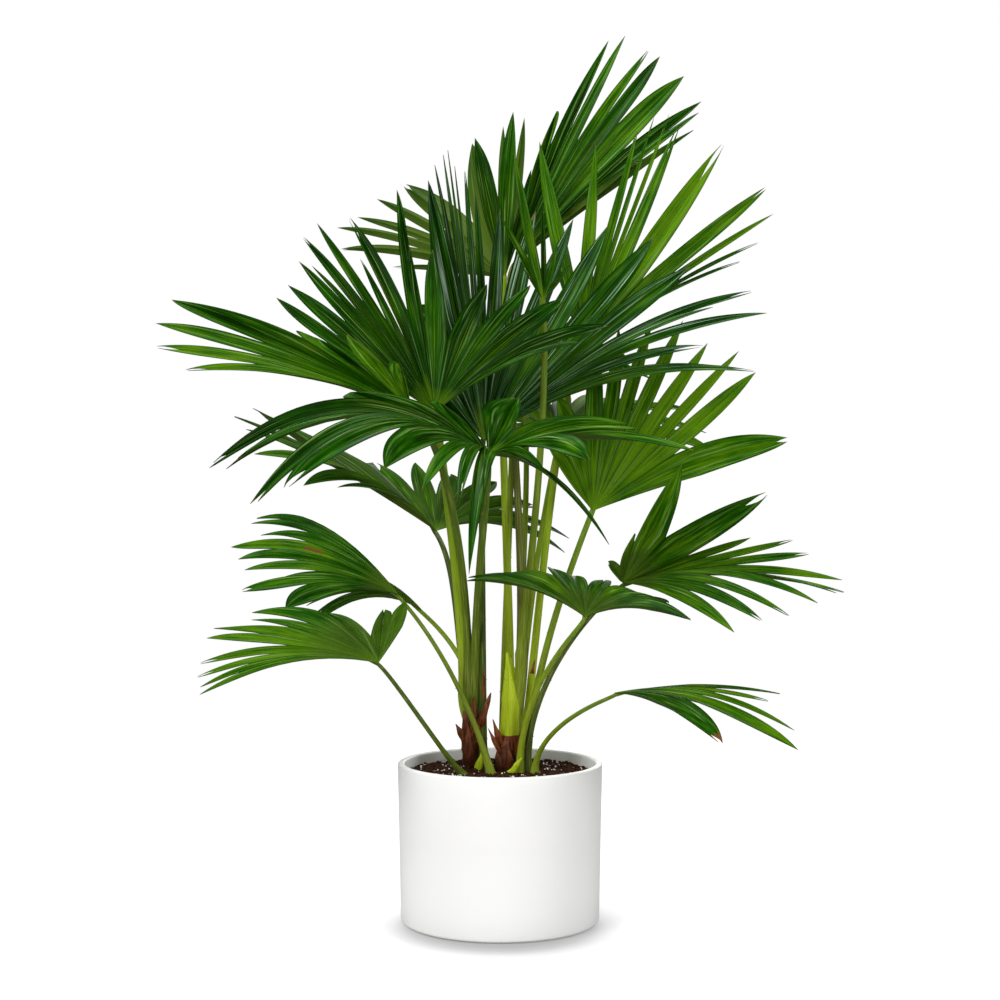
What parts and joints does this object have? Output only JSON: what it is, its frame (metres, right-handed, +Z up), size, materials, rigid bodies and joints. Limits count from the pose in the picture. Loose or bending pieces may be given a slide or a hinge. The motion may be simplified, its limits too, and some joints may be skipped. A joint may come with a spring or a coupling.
{
  "type": "potted chinese fan palm",
  "caption": "Potted fan palm: cut-fingered fan blades on slender arching petioles rising from short sheathed stems in a straight-sided white pot.",
  "frame": {"origin": "centre of the pot's flat underside, on the floor", "axes": "+Z up along the pot's axis; the plant's front looks toward -Y"},
  "size_m": [0.9075, 0.9009, 1.298],
  "materials": {
    "pot_white": "matte off-white",
    "soil_dark": "moist crumbly potting mix",
    "sheath_brown": "fibrous brown leaf sheath",
    "petiole_green": "satin yellow-green",
    "leaf_green": "glossy deep green"
  },
  "bodies": {
    "root": {"pot": "pot_white", "soil": "soil_dark", "stem_left": "sheath_brown", "stem_right": "sheath_brown", "core_right": "petiole_green", "petiole_top_right": "petiole_green", "blade_top_right": "leaf_green", "petiole_top_mid": "petiole_green", "blade_top_mid": "leaf_green", "petiole_upper_mid": "petiole_green", "blade_upper_mid": "leaf_green", "petiole_right_high": "petiole_green", "blade_right_high": "leaf_green", "petiole_centre": "petiole_green", "blade_centre": "leaf_green", "petiole_front_left": "petiole_green", "blade_front_left": "leaf_green", "petiole_left_high": "petiole_green", "blade_left_high": "leaf_green", "petiole_front": "petiole_green", "blade_front": "leaf_green", "petiole_right_mid": "petiole_green", "blade_right_mid": "leaf_green", "petiole_back_left": "petiole_green", "blade_back_left": "leaf_green", "petiole_left_mid": "petiole_green", "blade_left_mid": "leaf_green", "petiole_left_fan": "petiole_green", "blade_left_fan": "leaf_green", "petiole_left_fan_rear": "petiole_green", "blade_left_fan_rear": "leaf_green", "petiole_left_low": "petiole_green", "blade_left_low": "leaf_green", "petiole_right_fan": "petiole_green", "blade_right_fan": "leaf_green", "petiole_mid_right": "petiole_green", "blade_mid_right": "leaf_green", "petiole_right_low": "petiole_green", "blade_right_low": "leaf_green", "petiole_back_high": "petiole_green", "blade_back_high": "leaf_green", "petiole_back_right": "petiole_green", "blade_back_right": "leaf_green"}
  },
  "joints": []
}
